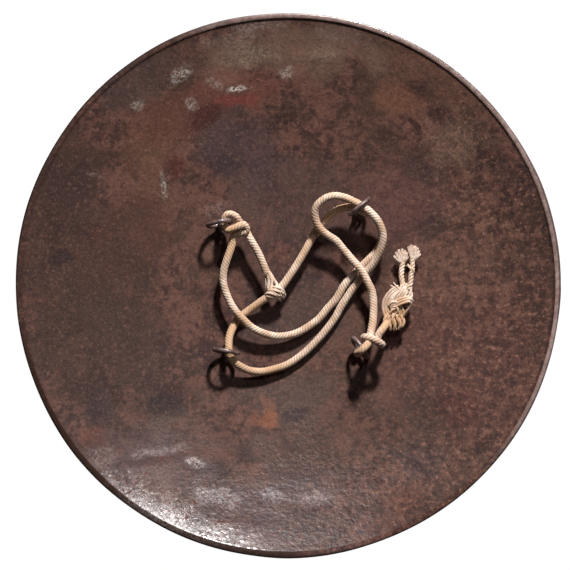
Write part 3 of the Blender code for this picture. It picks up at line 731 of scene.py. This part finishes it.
def plate_material():
    """Brown patina with red and orange rust, dark stains, pale speckle and pits; painted highlights on the
    lower left and the dents, and painted light and shade on the rim.
    """
    s = Shader("brown_patina")
    wide = s.noise(0.07, 5, 0.6)
    middle = s.noise(0.021, 6, 0.65, warp=0.5)
    fine = s.noise(0.0058, 5, 0.7)
    grain = s.noise(0.0021, 3, 0.65)
    tone = s.plus(s.times(middle, 0.55), s.times(fine, 0.45))
    rust_dots = s.ramp(s.noise(0.0046, 2, 0.5), 0.61, 0.66)
    rim = s.ramp(s.reach(), *RIM_BEAD)
    # The rim's lit side, which takes a painted highlight and more gloss
    lit_side = s.ramp(s.towards(*LIT_DIRECTION), 0.02, 0.19)
    lit_rim = s.times(s.ramp(s.reach(), *RIM_TOP), lit_side)
    band = s.patch(*BRIGHT_BAND, fine)
    low = s.patch(*GLOSSY_BOTTOM, wide)

    base = patina(s, wide, middle, tone)
    base = speckle(s, base, wide)
    base = wear_and_painted_highlights(s, base, wide, middle, grain, rust_dots)
    s.set("Base Color", rim_painted_light_and_shade(s, base, fine, rim, lit_side, lit_rim))
    s.set("Metallic", 0.0)

    polish = s.times(s.times(band, s.rest_of(rust_dots)), s.rest_of(rim))
    polish = s.larger(polish, lit_rim)
    dull_rim = s.minus(rim, lit_rim)
    dull = s.times(s.rest_of(low), s.rest_of(rim))
    shine = s.minus(s.plus(s.times(polish, 0.68), 0.32), s.times(dull, 0.14))
    s.set("Specular IOR Level", s.minus(shine, s.times(dull_rim, 0.26)))
    rough = s.plus(s.ramp(tone, 0.38, 0.62, 0.46, 0.36), s.times(dull, 0.16))
    rough = s.plus(rough, s.times(dull_rim, 0.35))
    s.set("Roughness", s.minus(rough, s.times(polish, 0.15)))

    depth = s.plus(s.times(low, 0.8), 0.2)
    depth = s.times(depth, s.rest_of(s.times(band, 0.45)))
    pebbles = s.bump(s.noise(0.0038, 3, 0.55), 0.00062, depth)
    pits = s.bump(s.ramp(s.noise(0.0031, 2, 0.5), 0.36, 0.5), 0.0001, 0.6, pebbles)
    s.set("Normal", s.bump(grain, 0.00005, 0.5, pits))
    return s.material


def fitting_material():
    """Darker iron, smoother in patches."""
    s = Shader("dark_forged_iron")
    middle = s.noise(0.006, 5, 0.6)
    fine = s.noise(0.0014, 4, 0.6)
    base = s.mix(s.ramp(middle, 0.38, 0.62), colour(66, 50, 48), colour(112, 92, 90))
    base = s.mix(s.ramp(fine, 0.52, 0.7, 0.0, 0.5), base, colour(112, 78, 68))
    s.set("Base Color", base)
    s.set("Metallic", 0.0)
    s.set("Specular IOR Level", 0.75)
    s.set("Roughness", s.ramp(middle, 0.3, 0.7, 0.42, 0.3))
    s.set("Normal", s.bump(fine, 0.0002, 0.8, s.bump(middle, 0.0004, 0.6)))
    return s.material


# How fine the cotton's threads are along and round a strand
THREADS_A_METRE = 900.0
THREADS_ROUND = 5.0

# Where the cotton is painted darker and tan, partly painted shade under knots and on undersides and partly
# dirt: x, y, half length, half width and turn in degrees, then strength
SHADE_AND_DIRT_PLACES = [
    ((-0.052, -0.056, 0.016, 0.03, 20), 0.7),
    ((-0.033, -0.024, 0.026, 0.01, 35), 0.65),
    ((-0.053, 0.043, 0.012, 0.024, 0), 0.7),
    ((0.047, 0.07, 0.026, 0.01, 20), 0.65),
    ((-0.018, -0.08, 0.04, 0.01, 0), 0.5),
    ((0.069, -0.06, 0.016, 0.01, 30), 0.55),
    ((0.099, -0.033, 0.017, 0.015, 0), 0.8),
    ((0.106, -0.018, 0.007, 0.01, 0), 0.6),
    ((0.023, 0.042, 0.01, 0.03, -30), 0.5),
]


def cotton_material():
    """Undyed cotton with painted shade in the grooves of the lay, and fine twisted yarn."""
    s = Shader("cotton_rope")
    groove = s.value("groove")
    yarn = s.add("ShaderNodeCombineXYZ")
    s.put(yarn, 0, s.times(s.value("along"), THREADS_A_METRE))
    s.put(yarn, 1, s.times(s.value("around"), THREADS_ROUND))
    threads = s.noise(1.0, 2, 0.6, yarn.outputs[0])
    patches = s.noise(0.012, 4, 0.6)
    base = s.mix(s.ramp(patches, 0.38, 0.62), colour(190, 163, 142), colour(222, 204, 190))
    base = s.mix(s.ramp(threads, 0.35, 0.6, 0.35, 0.0), base, colour(170, 136, 108))
    # Painted shade in the grooves of the lay
    base = s.mix(s.ramp(groove, 0.4, 1.0, 0.0, 0.78), base, colour(138, 98, 62))
    # Painted shade and dirt in patches
    for place, strength in SHADE_AND_DIRT_PLACES:
        base = s.stain(base, place, patches, strength, (178, 138, 100))
    s.set("Base Color", base)
    s.set("Roughness", 0.92)
    s.set("Specular IOR Level", 0.2)
    s.set("Sheen Weight", 0.15)
    s.set("Normal", s.bump(threads, 0.00022, 0.7))
    return s.material


# The plate. Dents, creases and swellings: x, y, half length, half width, turn in degrees and height
DENTS = [
    (-0.122, -0.158, 0.03, 0.0036, 9, 0.0005),
    (-0.126, -0.166, 0.026, 0.004, 9, -0.0004),
    (-0.084, -0.168, 0.009, 0.0045, -18, 0.0006),
    (-0.066, -0.199, 0.018, 0.006, -8, 0.0007),
    (-0.016, -0.198, 0.009, 0.005, 0, 0.0006),
    (0.026, -0.202, 0.015, 0.006, 0, 0.0007),
    (-0.15, -0.176, 0.012, 0.006, -40, 0.0005),
    (-0.04, -0.222, 0.03, 0.007, -6, -0.0005),
    (0.01, -0.18, 0.022, 0.006, 4, -0.0004),
    (-0.096, 0.193, 0.016, 0.009, 30, 0.0008),
    (-0.054, 0.186, 0.012, 0.007, 10, 0.0007),
    (-0.141, 0.168, 0.014, 0.008, 40, 0.0007),
    (0.034, 0.211, 0.02, 0.006, 0, 0.0008),
    (-0.162, -0.11, 0.022, 0.01, -60, -0.0008),
    (0.11, -0.17, 0.026, 0.014, 20, -0.0006),
    (0.165, 0.06, 0.02, 0.012, 70, 0.0005),
    (-0.18, 0.06, 0.018, 0.011, 80, 0.0006),
]

# Hammered waves and roughness: height, size of one bump and seed
HAMMERED = [(0.00055, 0.07, 1), (0.00022, 0.028, 2), (0.00009, 0.011, 3), (0.00005, 0.0055, 4)]
SMOOTH_NEAR_RIM = (0.232, 0.246)

# Waves in the rim's outline: height, how many there are round it and where they begin
RIM_WAVES = [(0.00035, 3, 0.7), (0.00025, 7, 0), (0.00015, 13, 2)]
RIM_SWELL = 0.07
RIM_SWELL_LENGTH = 0.03
RIM_SEED = 5
PLATE_SIDES = 360
ROWS_INSIDE = 150
ROWS_OUTSIDE = 56
ROWS_ON_RIM = 20
FIRST_ROW_INSIDE = 0.0016
LAST_ROW_OUTSIDE = 0.004


def dents(x, y):
    """Heights in metres of all dents at places seen from above."""
    height = np.zeros_like(x)
    for at_x, at_y, length, width, turn, rise in DENTS:
        c = math.cos(math.radians(turn))
        s = math.sin(math.radians(turn))
        along = (x - at_x) * c + (y - at_y) * s
        across = (y - at_y) * c - (x - at_x) * s
        height += rise * np.exp(-((along / length) ** 2) - (across / width) ** 2)
    return height


def plate_relief(x, y):
    """How far the hammered sheet stands off the true dish, along its normal."""
    hammered = sum(height * random_relief(x, y, size, seed) for height, size, seed in HAMMERED)
    return (hammered + dents(x, y)) * (1 - smooth_step(np.hypot(x, y), *SMOOTH_NEAR_RIM))


def make_plate(material):
    """The dished sheet with its rolled rim, both sides, as one closed surface."""
    turn = np.linspace(0, math.tau, PLATE_SIDES, endpoint=False)
    slope = math.asin(BEAD_CENTRE_RADIUS / DISH_RADIUS)
    meet = math.asin(HALF_THICKNESS / RIM_BEAD_RADIUS)
    reach = RIM_BEAD_RADIUS * math.cos(meet)
    plate_end = BEAD_CENTRE_RADIUS - reach * math.cos(slope)
    inside = np.linspace(FIRST_ROW_INSIDE, plate_end, ROWS_INSIDE)
    outside = np.linspace(plate_end, LAST_ROW_OUTSIDE, ROWS_OUTSIDE)
    wobble = sum(height * np.sin(count * turn + shift) for height, count, shift in RIM_WAVES)
    swell = 1 + RIM_SWELL * random_relief(turn * SHIELD_RADIUS, turn * 0, RIM_SWELL_LENGTH, RIM_SEED)
    rows = []
    for radii, offset in ((inside, HALF_THICKNESS), (outside, -HALF_THICKNESS)):
        for radius in radii:
            share = (radius / plate_end) ** 4
            at = radius + wobble * share
            x = at * np.cos(turn)
            y = at * np.sin(turn)
            sphere = DISH_RADIUS - offset - plate_relief(x, y)
            angle = np.arcsin(radius / DISH_RADIUS)
            scale = sphere * math.sin(angle) / radius
            rows.append(np.stack([x * scale, y * scale, DISH_CENTRE_Z - sphere * math.cos(angle)], -1))
        if offset > 0:
            rows += bead_rows(turn, slope, meet, wobble, swell)
    rows = np.array(rows)
    start = rows[0].mean(0)
    end = rows[-1].mean(0)
    plate = surface("shield_plate_forged", rows, start=start, end=end)
    return finish_piece(plate, material, "plate_iron", "shield_plate")


def bead_rows(turn, slope, meet, wobble, swell):
    """Rows of the rolled rim, from where it leaves the hollow side to where it meets the front."""
    centre_z = DISH_CENTRE_Z - DISH_RADIUS * math.cos(slope)
    rows = []
    start = math.pi - meet
    for i in range(1, ROWS_ON_RIM):
        angle = start - 2 * start * i / ROWS_ON_RIM
        thick = RIM_BEAD_RADIUS * (1 + (swell - 1) * math.sin(math.pi * i / ROWS_ON_RIM))
        along = thick * math.cos(angle)
        across = thick * math.sin(angle)
        proud = np.maximum(across - HALF_THICKNESS, 0)
        across = across - proud * (1 - HOLLOW_SIDE_PROUD)
        radius = BEAD_CENTRE_RADIUS + wobble + along * math.cos(slope) - across * math.sin(slope)
        z = centre_z + along * math.sin(slope) + across * math.cos(slope)
        rows.append(np.stack([radius * np.cos(turn), radius * np.sin(turn), z], -1))
    return rows


# Rings and the bolts that hold them: points round each wire and along it, and how uneven the forging is
RING_POINTS = (120, 24)
EYE_POINTS = (64, 20)
FORGED_WAVE = 0.06
FORGED_FACETS = 0.035
WAVE_SIZE = 0.45
FACET_SIZE = 0.8
FIRST_RING_SEED = 11
FIRST_BOLT_SEED = 31
SEED_STEP = 3
BOLT_SIDES = 64
DOME_ROWS = 24
BOSS_PRESSED_FLAT = 0.0006
NECK_LENGTH = 0.0012
NECK_SHARE = 0.9
COLLAR_SHARE = 1.25
COLLAR_HEIGHT = 0.0002


def ring_frame(name):
    """Origin at the ring's middle, X along its plane and Y up in it."""
    x, y, turn, lean = RINGS[name]
    eye_middle = inside_point(x, y) + plate_normal(x, y) * EYE_ABOVE_PLATE
    turned = Matrix.Rotation(math.radians(turn), 4, "Z")
    upright = Matrix.Rotation(math.pi / 2 + math.radians(lean), 4, "X")
    return Matrix.Translation(eye_middle) @ turned @ upright @ Matrix.Translation((0, RING_RADIUS, 0))


def bolt_frame(name):
    """Origin on the hollow side, Z out of the plate and X along the ring's plane."""
    x, y, turn, _ = RINGS[name]
    normal = plate_normal(x, y)
    level = Vector((math.cos(math.radians(turn)), math.sin(math.radians(turn)), 0))
    along = (level - normal * level.dot(normal)).normalized()
    made = Matrix((along, normal.cross(along), normal)).transposed().to_4x4()
    made.translation = inside_point(x, y)
    return made


def torus_rows(radius, wire, segments, sides, seed):
    """Rows of a hand-forged ring, a little thicker and thinner round its length."""
    turn = np.linspace(0, math.tau, segments, endpoint=False)[:, None]
    around = np.linspace(0, math.tau, sides, endpoint=False)[None, :]
    wave = random_relief(np.cos(turn) + 2, np.sin(turn) + around * 0, WAVE_SIZE, seed)
    facets = random_relief(turn * 2 + around * 0, around + turn * 0, FACET_SIZE, seed + 1)
    thick = wire * (1 + FORGED_WAVE * wave + FORGED_FACETS * facets * np.sin(turn / 2) ** 2)
    reach = radius + thick * np.cos(around)
    return np.stack([reach * np.cos(turn), reach * np.sin(turn), thick * np.sin(around)], -1)


def place_rows(rows, matrix):
    numbers = np.array(matrix)
    return rows @ numbers[:3, :3].T + numbers[:3, 3]


def make_ring(name, seed, material):
    rows = torus_rows(RING_RADIUS, RING_WIRE_RADIUS, *RING_POINTS, seed)
    ring = surface("ring_forged_" + name, place_rows(rows[:, ::-1], ring_frame(name)), closed=True)
    return finish_piece(ring, material, "fitting_iron", "ring_" + name)


def turned_rows(profile, sides):
    turn = np.linspace(0, math.tau, sides, endpoint=False)
    return np.array([[(r * math.cos(a), r * math.sin(a), z) for a in turn] for r, z in profile])


def make_bolt(name, seed, material):
    """Boss, shank and eye, joined into one forging."""
    place = bolt_frame(name)
    eye = torus_rows(EYE_RADIUS, EYE_WIRE_RADIUS, *EYE_POINTS, seed)[:, ::-1]
    upright = Matrix.Translation((0, 0, EYE_ABOVE_PLATE)) @ Matrix.Rotation(math.pi / 2, 4, "Y")
    eye_piece = surface("eye", place_rows(place_rows(eye, upright), place), closed=True)
    back = -PLATE_THICKNESS - TOUCHING_GAP
    foot = EYE_ABOVE_PLATE - EYE_RADIUS
    to_floor = place.translation.z / place.col[2].z + back
    dome = to_floor + BOSS_PRESSED_FLAT - BOSS_EDGE
    sphere = (BOSS_RADIUS**2 + dome**2) / (2 * dome)
    full = math.asin(BOSS_RADIUS / sphere)
    profile = [(EYE_WIRE_RADIUS * NECK_SHARE, foot), (SHANK_RADIUS, foot - NECK_LENGTH)]
    profile += [(SHANK_RADIUS * COLLAR_SHARE, COLLAR_HEIGHT), (SHANK_RADIUS, back)]
    profile += [(BOSS_RADIUS, back), (BOSS_RADIUS, back - BOSS_EDGE)]
    for i in range(1, DOME_ROWS):
        angle = full * (1 - i / DOME_ROWS)
        drop = sphere * math.cos(angle) - (sphere - dome)
        profile.append((sphere * math.sin(angle), back - BOSS_EDGE - drop))
    rows = place_rows(turned_rows(profile, BOLT_SIDES)[:, ::-1], place)
    rows[:, :, 2] = np.maximum(rows[:, :, 2], 0.0)
    bolt = surface("ring_bolt_forged_" + name, rows, start=rows[0].mean(0), end=rows[-1].mean(0))
    weld(bolt, eye_piece)
    return finish_piece(bolt, material, "fitting_iron", "ring_bolt_" + name)


def weld(bolt, eye):
    """Joins the eye to the bolt as one closed mesh."""
    joined = bolt.modifiers.new("join", "BOOLEAN")
    joined.operation = "UNION"
    joined.object = eye
    graph = bpy.context.evaluated_depsgraph_get()
    mesh = bpy.data.meshes.new_from_object(bolt.evaluated_get(graph))
    bolt.modifiers.clear()
    bolt.data = mesh
    mesh.shade_smooth()
    bpy.data.objects.remove(eye)


# The rope


def route_points(route):
    return [Vector((x, y, inside_height(x, y) + height)) for x, y, height in route]


def lengths_along(line):
    """The length of a line up to each of its points."""
    return np.concatenate([[0.0], np.cumsum(np.linalg.norm(np.diff(line, axis=0), axis=1))])


def smooth_line(points, step):
    """Points an even step apart on a smooth curve through the route's points."""
    ends = [points[0] * 2 - points[1], *points, points[-1] * 2 - points[-2]]
    fine = []
    for a, b, c, d in zip(ends, ends[1:], ends[2:], ends[3:]):
        for i in range(CURVE_STEPS):
            t = i / CURVE_STEPS
            cubic = (b * 3 - a - c * 3 + d) * t**3 + (a * 2 - b * 5 + c * 4 - d) * t**2
            fine.append((cubic + (c - a) * t + b * 2) / 2)
    fine.append(points[-1])
    fine = np.array(fine)
    lengths = lengths_along(fine)
    count = max(4, round(lengths[-1] / step))
    wanted = np.linspace(0, lengths[-1], count + 1)
    return np.stack([np.interp(wanted, lengths, fine[:, i]) for i in range(3)], -1)


def frames_along(line):
    """Two directions across the line at each point, that turn no more than the line does."""
    ahead = np.gradient(line, axis=0)
    ahead /= np.linalg.norm(ahead, axis=1)[:, None]
    side = np.cross(ahead[0], (0, 0, 1))
    side /= np.linalg.norm(side)
    sides = []
    for direction in ahead:
        side = side - direction * side.dot(direction)
        side /= np.linalg.norm(side)
        sides.append(side)
    sides = np.array(sides)
    return sides, np.cross(ahead, sides)


def twisted_tube(line, radius, strands, lay, share, sides):
    """Rows of a tube whose strands wind round it, with rounded tips, and values for its material."""
    across, up = frames_along(line)
    along = lengths_along(line)
    turn = np.linspace(0, math.tau, sides, endpoint=False)[::-1]
    half = math.pi / strands
    lobe = (turn[None, :] + math.tau * along[:, None] / lay + half) % (2 * half) - half
    inset = 1 - share
    reach = inset * np.cos(lobe) + np.sqrt(np.maximum(share**2 - (inset * np.sin(lobe)) ** 2, 0))
    from_end = np.clip(np.minimum(along, along[-1] - along) / TIP_LENGTH, 0, 1)
    tip = np.sqrt(np.clip(1 - (1 - from_end) ** 2, TIP_END, 1))
    reach = reach * (radius * tip)[:, None]
    circle = across[:, None, :] * np.cos(turn)[None, :, None] + up[:, None, :] * np.sin(turn)[None, :, None]
    rows = line[:, None, :] + circle * reach[:, :, None]
    return rows, np.abs(lobe) / half, np.broadcast_to(along[:, None], lobe.shape), lobe / half


def join_tubes(name, tubes, material, *nodes):
    """One object from several closed tubes, in place of the nodes that it stands for."""
    points = []
    faces = []
    values = {"groove": [], "along": [], "around": []}
    for rows, groove, along, around in tubes:
        count, sides = rows.shape[:2]
        index = len(points) + np.arange(count * sides).reshape(count, sides)
        points += rows.reshape(-1, 3).tolist()
        faces += faces_between(index)
        for row, turned in ((index[0], True), (index[-1], False)):
            faces += faces_to_pole(row, len(points), turned)
            points.append(np.mean([points[i] for i in row], axis=0).tolist())
        for key, value, at_poles in (("groove", groove, 1), ("along", along, 0), ("around", around, 0)):
            values[key] += value.ravel().tolist() + [at_poles] * 2
    obj = new_object(name, points, faces)
    for key, value in values.items():
        set_values(obj, key, value)
    return finish_piece(obj, material, "rope_cotton", *nodes)


def yarn_tubes(count, spread, lie, radius, tip_share, turns, route):
    """Yarns that follow one route together, flat side by side or twisted round each other."""
    line = smooth_line(route_points(route), YARN_ROW)
    across, up = frames_along(line)
    along = lengths_along(line)
    thick = radius * (1 + (tip_share - 1) * (along / along[-1]) ** 2)
    tubes = []
    for i in range(count):
        if lie == "flat":
            shift = across * (i - (count - 1) / 2) * spread
        else:
            angle = math.tau * i / count + turns * along
            shift = across * np.cos(angle)[:, None] + up * np.sin(angle)[:, None]
            shift = shift * spread * (count > 1)
        tube = twisted_tube(line + shift, thick, YARN_STRANDS, YARN_LAY, YARN_STRAND_SHARE, YARN_SIDES)
        rows, groove, *rest = tube
        tubes.append((rows, groove * YARN_GROOVE, *rest))
    return tubes


def make_yarns(name, groups, material, *nodes):
    tubes = [tube for group in groups for tube in yarn_tubes(*group)]
    return join_tubes(name, tubes, material, *nodes)


def make_rope(material):
    """The twisted rope along its whole route, and the loose yarns of its knots and ends."""
    line = smooth_line(route_points(ROPE_ROUTE), ROPE_ROW)
    radius = np.full(len(line), ROPE_DIAMETER / 2)
    for x, y, reach, share in TIGHT_PLACES:
        near = np.exp(-((line[:, 0] - x) ** 2 + (line[:, 1] - y) ** 2) / reach**2)
        radius *= 1 - (1 - share) * near
    taken = {node for _, nodes in LOOSE_YARNS.values() for node in nodes}
    left = [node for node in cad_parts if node.startswith("rope_") and node not in taken]
    tube = twisted_tube(line, radius, STRANDS, LAY_LENGTH, STRAND_SHARE, ROPE_SIDES)
    rope = join_tubes("rope_twisted", [tube], material, *left)
    yarns = [make_yarns(name, groups, material, *nodes) for name, (groups, nodes) in LOOSE_YARNS.items()]


# Camera, lights and floor. Each light: size, power, tint, azimuth clockwise from +Y, elevation, distance
LIGHTS = {
    "key": (0.14, 37.0, (1.0, 0.97, 0.94), 12.5, 33.5, 1.3),
    "gloss": (0.2, 4.5, (0.97, 0.98, 1.0), 37.0, 55.0, 2.0),
    "fill": (1.0, 0.7, (1.0, 0.98, 0.96), 150.0, 50.0, 2.0),
}
LIT_PLACE = Vector((0, 0, 0.03))
ROOM_TINT = (1.0, 0.98, 0.96, 1.0)
ROOM_STRENGTH = 0.03
FLOOR_SIZE = 6.0


def make_camera():
    data = bpy.data.cameras.new("camera")
    data.sensor_width = SENSOR
    width = IMAGE_SIZE * PIXEL_AT_RIM
    data.lens = SENSOR * (CAMERA_HEIGHT - RIM_HEIGHT) / width
    data.clip_end = 10 * CAMERA_HEIGHT
    camera = bpy.data.objects.new("camera", data)
    camera.location = (CAMERA_X, CAMERA_Y, CAMERA_HEIGHT)
    bpy.context.scene.collection.objects.link(camera)
    bpy.context.scene.camera = camera


def aim(obj, azimuth, elevation, distance):
    """Places a light round the shield and turns it to the middle."""
    a = math.radians(azimuth)
    e = math.radians(elevation)
    back = Vector((math.sin(a) * math.cos(e), math.cos(a) * math.cos(e), math.sin(e)))
    obj.location = LIT_PLACE + back * distance
    obj.rotation_euler = back.to_track_quat("Z", "Y").to_euler()


def make_light(name, size, power, tint, azimuth, elevation, distance):
    data = bpy.data.lights.new(name, "AREA")
    data.shape = "DISK"
    data.size = size
    data.energy = power
    data.color = tint
    light = bpy.data.objects.new(name, data)
    bpy.context.scene.collection.objects.link(light)
    aim(light, azimuth, elevation, distance)


def make_stage():
    world = bpy.data.worlds.new("studio")
    world.use_nodes = True
    background = world.node_tree.nodes["Background"]
    background.inputs["Color"].default_value = ROOM_TINT
    background.inputs["Strength"].default_value = ROOM_STRENGTH
    bpy.context.scene.world = world
    bpy.context.scene.view_settings.view_transform = "Standard"
    for name, settings in LIGHTS.items():
        make_light(name, *settings)
    bpy.ops.mesh.primitive_plane_add(size=FLOOR_SIZE)
    floor = bpy.context.object
    floor.name = "floor"
    s = Shader("pale_floor")
    s.set("Base Color", (0.05, 0.05, 0.05, 1.0))
    s.set("Roughness", 0.9)
    s.set("Emission Color", (1.0, 1.0, 1.0, 1.0))
    s.set("Emission Strength", 1.0)
    floor.data.materials.append(s.material)


make_camera()
make_stage()
cotton = cotton_material()
make_rope(cotton)
iron = fitting_material()
for number, name in enumerate(RINGS):
    make_ring(name, FIRST_RING_SEED + number * SEED_STEP, iron)
    make_bolt(name, FIRST_BOLT_SEED + number * SEED_STEP, iron)
make_plate(plate_material())
